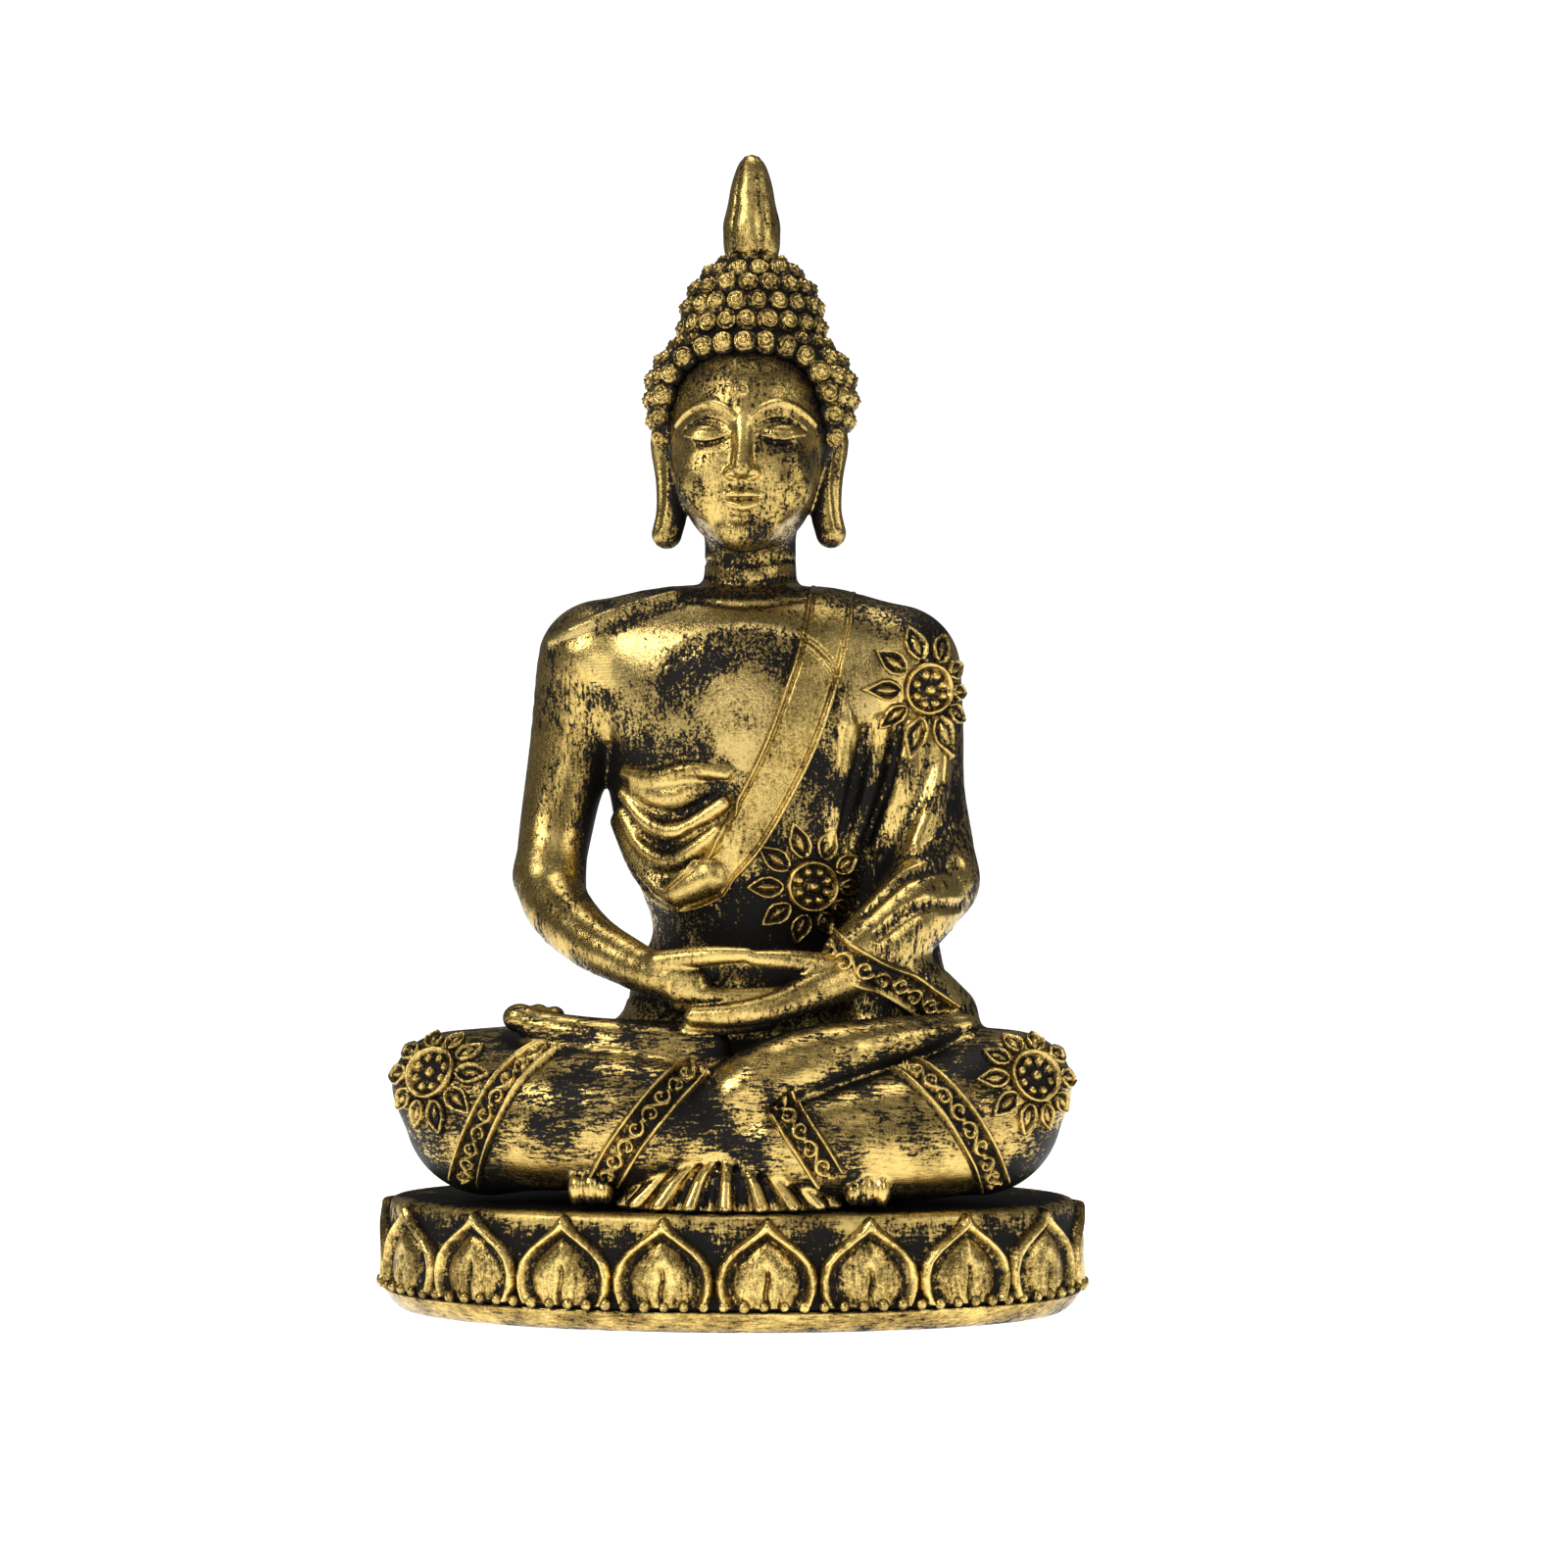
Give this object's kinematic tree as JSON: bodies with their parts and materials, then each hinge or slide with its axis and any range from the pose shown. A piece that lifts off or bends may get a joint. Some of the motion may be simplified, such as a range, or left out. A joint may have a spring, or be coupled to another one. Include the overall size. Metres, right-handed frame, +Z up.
{
  "type": "buddha statue",
  "caption": "Seated meditating figure with hands in the lap, on an oval lotus-petal base with a beaded foot, in black and dry-brushed antique gold.",
  "frame": {"origin": "bottom centre of the base, on the surface that it stands on", "axes": "+Z up, the face looks along -Y, +X is on the viewer's right (the figure's left)"},
  "size_m": [0.0634, 0.04, 0.102],
  "materials": {
    "gold": "painted cast resin: antique gold dry-brushed over black, satin",
    "dark_gold": "painted cast resin: black with sparse gold dry-brushing, satin",
    "felt": "black felt"
  },
  "bodies": {
    "root": {"base_skirt": "gold", "bead_ring": "gold", "torso": "gold", "sash": "gold", "chest_folds": "gold", "neck": "gold", "head": "gold", "right_ear": "gold", "left_ear": "gold", "flame_finial": "gold", "right_upper_arm": "gold", "left_upper_sleeve": "gold", "right_forearm": "gold", "left_fore_sleeve": "gold", "right_hand": "gold", "left_hand": "gold", "right_thigh": "gold", "left_thigh": "gold", "right_shin": "gold", "left_shin": "gold", "crossed_shin": "gold", "left_foot": "gold", "hem_fan": "gold", "cuff_band": "gold", "rosette_belly": "gold", "rosette_shoulder": "gold", "rosette_right_knee": "gold", "rosette_left_knee": "gold", "thigh_band_right_outer": "gold", "thigh_band_right_inner": "gold", "thigh_band_left_inner": "gold", "thigh_band_left_outer": "gold", "lotus_petal_01": "gold", "lotus_petal_02": "gold", "lotus_petal_03": "gold", "lotus_petal_04": "gold", "lotus_petal_05": "gold", "lotus_petal_06": "gold", "lotus_petal_07": "gold", "lotus_petal_08": "gold", "lotus_petal_09": "gold", "lotus_petal_10": "gold", "lotus_petal_11": "gold", "lotus_petal_12": "gold", "lotus_petal_13": "gold", "lotus_petal_14": "gold", "lotus_petal_15": "gold", "lotus_petal_16": "gold", "lotus_petal_17": "gold", "lotus_petal_18": "gold", "lotus_drum": "dark_gold", "hips": "dark_gold", "sleeve_drape": "dark_gold", "hair_cap": "dark_gold", "topknot": "dark_gold", "felt_pad": "felt"}
  },
  "joints": []
}
